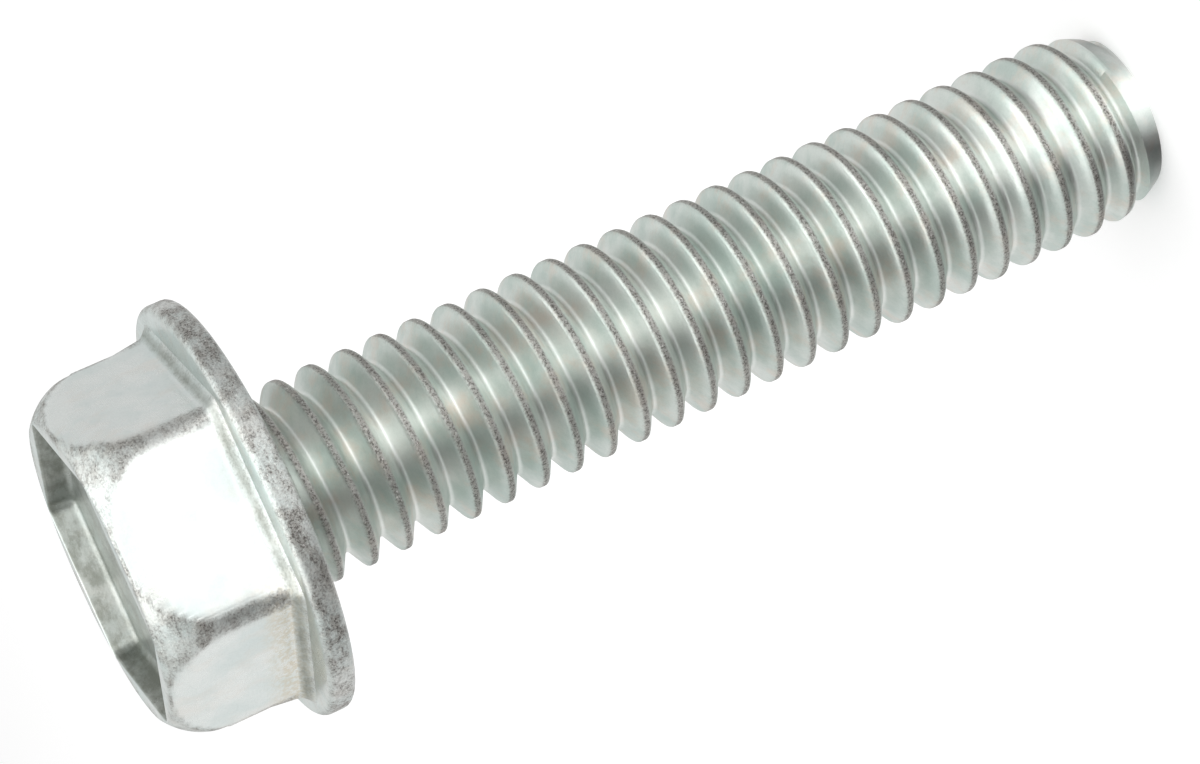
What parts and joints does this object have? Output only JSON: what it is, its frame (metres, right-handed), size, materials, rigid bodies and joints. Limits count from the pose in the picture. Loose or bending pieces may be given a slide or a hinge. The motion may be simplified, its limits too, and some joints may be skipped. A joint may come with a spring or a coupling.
{
  "type": "flange bolt",
  "caption": "Zinc-plated hex flange bolt with an indented head and a shank threaded up to the flange, for clamping parts without a loose washer.",
  "frame": {"origin": "centre of the flange's bearing face, on the thread axis", "axes": "+Z along the thread axis from the point towards the head, with two of the hexagon's flats facing +Y and -Y"},
  "size_m": [0.0162, 0.0162, 0.0434],
  "materials": {
    "zinc_plate": "bright zinc plate over cold-formed steel, lightly scratched and pitted"
  },
  "bodies": {
    "root": {"flange_bolt": "zinc_plate"}
  },
  "joints": []
}
